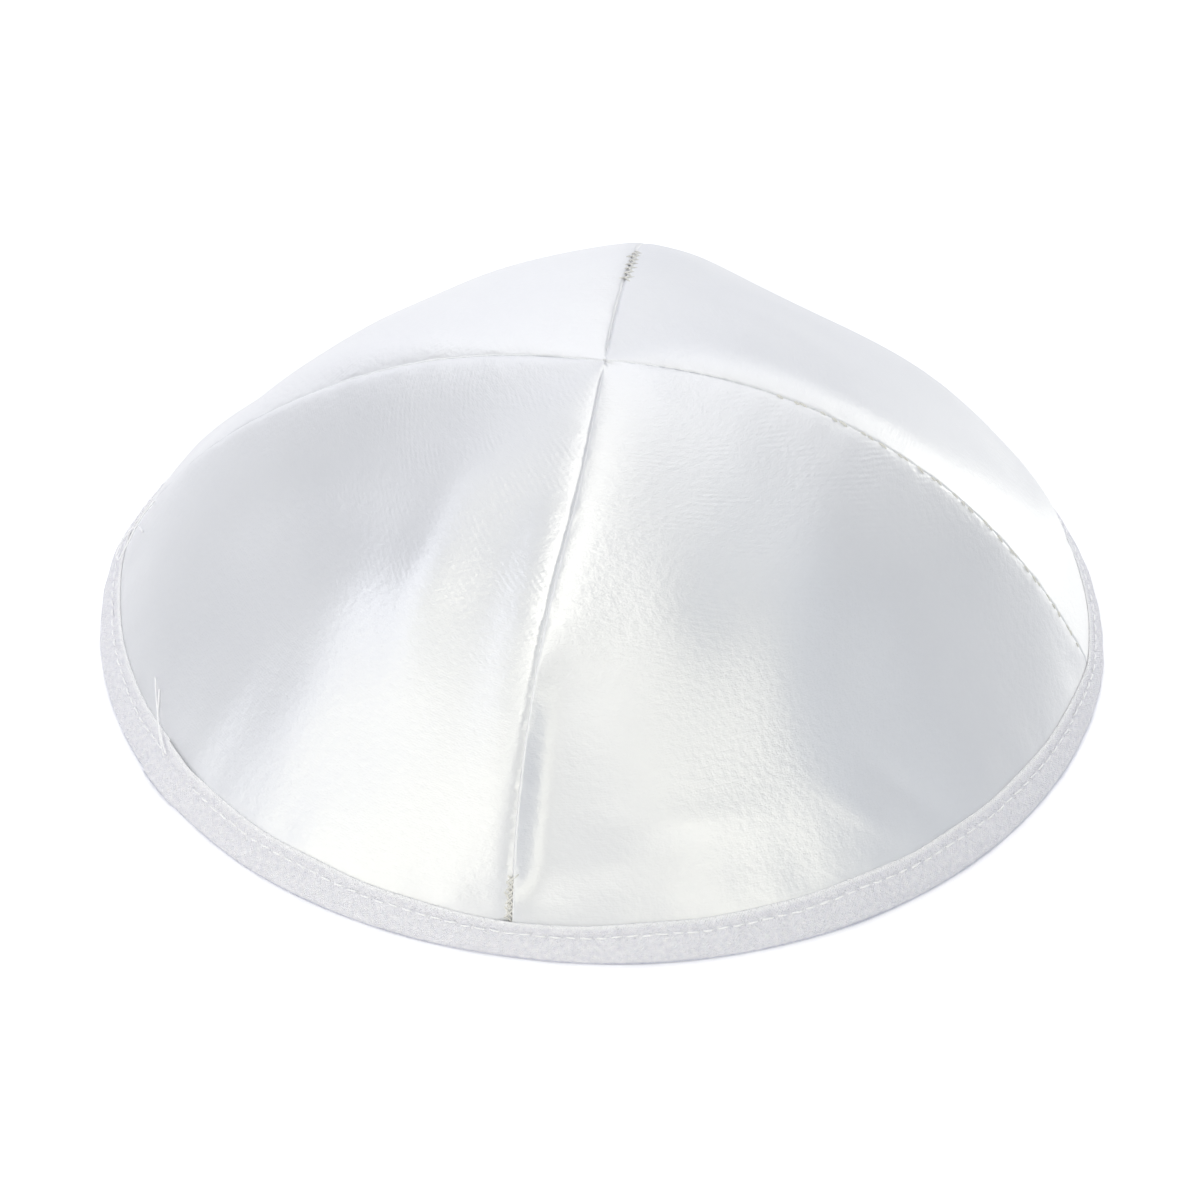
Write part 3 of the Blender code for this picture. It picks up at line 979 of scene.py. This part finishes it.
def thread_ends(material):
    """Loose ends of thread at the foot of the left seam and above the lapped end of the tape."""
    points, faces = [], []
    shares = np.linspace(0, 1, THREAD_RINGS)
    for row in THREAD_ENDS:
        spots = []
        for across, down, over in row:
            spot, _, _, outward = cloth_frame(GORES[3], across, down)
            spots.append(spot + outward * over / MILLIMETRES)
        path = np.stack([along([spot[axis] for spot in spots], shares) for axis in range(3)], axis=-1)
        ways = np.gradient(path, axis=0)
        ways /= np.linalg.norm(ways, axis=1, keepdims=True)
        faces.extend(tube_faces(len(points), THREAD_RINGS))
        for place, way in zip(path, ways):
            side = np.cross(way, outward)
            side /= np.linalg.norm(side)
            top = np.cross(side, way)
            for turn in np.linspace(0, 2 * math.pi, THREAD_SIDES, endpoint=False):
                points.append(place + THREAD_RADIUS * (side * math.cos(turn) + top * math.sin(turn)))
    piece = new_mesh("thread_ends", points, faces, material)
    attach(piece, "root")


def make_camera():
    """The photograph's view: 40 degrees down, from well back. Its frame is 1200 pixels wide."""
    elevation = math.radians(40.0)
    distance = 0.85
    pixel = 0.000165
    frame_pixels = 1200
    rim_in_frame = (604.7, 624.9)
    right = Vector((1, 0, 0))
    up = Vector((0, math.sin(elevation), math.cos(elevation)))
    back = Vector((0, -math.cos(elevation), math.sin(elevation)))
    target = Vector((-MIDDLE[0], -MIDDLE[1], 0))
    target += right * (frame_pixels / 2 - rim_in_frame[0]) * pixel
    target += up * (rim_in_frame[1] - frame_pixels / 2) * pixel
    data = bpy.data.cameras.new("photo_view")
    data.lens = data.sensor_width * distance / (frame_pixels * pixel)
    camera = bpy.data.objects.new("photo_view", data)
    camera.location = target + back * distance
    camera.rotation_euler = (math.pi / 2 - elevation, 0, 0)
    bpy.context.scene.collection.objects.link(camera)
    bpy.context.scene.camera = camera


# Soft boxes: direction and height angle in degrees, then distance and size in metres, watts and colour
Light = namedtuple("Light", "name azimuth elevation distance width height power colour")
LIGHTS = [
    Light("front_left_low", -143, 12, 1.3, 0.9, 0.5, 4.65, (1.0, 0.975, 0.80)),
    Light("front_right_low", -60, 12, 1.3, 0.5, 0.5, 3.3, (1.0, 0.970, 0.78)),
    Light("front_top", -105, 61, 1.3, 0.8, 0.5, 4.8, (1.0, 0.980, 0.84)),
    Light("top", -90, 87, 1.3, 0.5, 0.75, 2.85, (1.0, 0.975, 0.88)),
    Light("back_high", 66, 60, 1.3, 0.9, 0.5, 3.0, (1.0, 0.975, 0.90)),
    Light("back", 86, 36, 1.3, 1.3, 0.5, 3.6, (1.0, 0.995, 0.98)),
    Light("right_low", 42, 8, 1.3, 0.6, 0.4, 3.5, (1.0, 0.985, 0.86)),
    Light("back_low", 108, 12, 1.3, 0.9, 0.5, 1.5, (1.0, 0.990, 1.0)),
    Light("left", 180, 36, 1.3, 0.5, 0.5, 2.8, (0.92, 0.935, 1.0)),
    Light("right", -20, 36, 1.3, 0.7, 0.5, 0.95, (0.76, 0.880, 1.0)),
]
WORLD_COLOUR = (0.58, 0.68, 1.0, 1)
WORLD_STRENGTH = 0.20
FLOOR_GLOW_COLOUR = (0.85, 0.85, 1.0, 1)
FLOOR_GLOW = 0.20


def make_lights():
    """Soft studio light over a pale floor."""
    middle = Vector((0, 0, 0.02))
    for row in LIGHTS:
        data = bpy.data.lights.new(row.name, "AREA")
        data.shape = "RECTANGLE"
        data.size = row.width
        data.size_y = row.height
        data.energy = row.power
        data.color = row.colour
        lamp = bpy.data.objects.new(row.name, data)
        turn, rise = math.radians(row.azimuth), math.radians(row.elevation)
        way = Vector((math.cos(turn) * math.cos(rise), math.sin(turn) * math.cos(rise), math.sin(rise)))
        lamp.location = middle + way * row.distance
        lamp.rotation_euler = way.to_track_quat("Z", "Y").to_euler()
        bpy.context.scene.collection.objects.link(lamp)
    world = bpy.data.worlds.new("studio")
    bpy.context.scene.world = world
    world.use_nodes = True
    sky = world.node_tree.nodes["Background"]
    sky.inputs["Color"].default_value = WORLD_COLOUR
    sky.inputs["Strength"].default_value = WORLD_STRENGTH


def make_floor():
    """A plain pale floor."""
    mesh = bpy.data.meshes.new("floor")
    reach = 3.0
    corners = [(-reach, -reach, 0), (reach, -reach, 0), (reach, reach, 0), (-reach, reach, 0)]
    mesh.from_pydata(corners, [], [(0, 1, 2, 3)])
    floor = bpy.data.objects.new("floor", mesh)
    material, nodes, links, shader = new_material("floor_paper")
    tooth = nodes.new("ShaderNodeTexNoise")
    set_sockets(tooth, {"Scale": 900.0})
    links.new(mixed(nodes, links, tooth.outputs["Fac"], *FLOOR_COLOURS), shader.inputs["Base Color"])
    set_sockets(shader, {"Roughness": 0.9, "Specular IOR Level": 0.1})
    set_sockets(shader, {"Emission Color": FLOOR_GLOW_COLOUR, "Emission Strength": FLOOR_GLOW})
    mesh.materials.append(material)
    bpy.context.scene.collection.objects.link(floor)


make_camera()
satin = satin_material()
tape = tape_material()
thread = thread_material("sewing_thread", *THREAD_COLOURS)
# The seam stitches and backtacks get the greyer thread: painted shade in their small gaps
seam_thread = thread_material("seam_thread", *SEAM_THREAD_SHADED_COLOURS)
for gore in GORES:
    make_gore(gore, satin)
make_binding(tape)
tape_stitches(thread)
thread_ends(thread)
seam_stitches(seam_thread)
backtacks(seam_thread)
make_floor()
make_lights()
bpy.context.scene.view_settings.view_transform = "Standard"
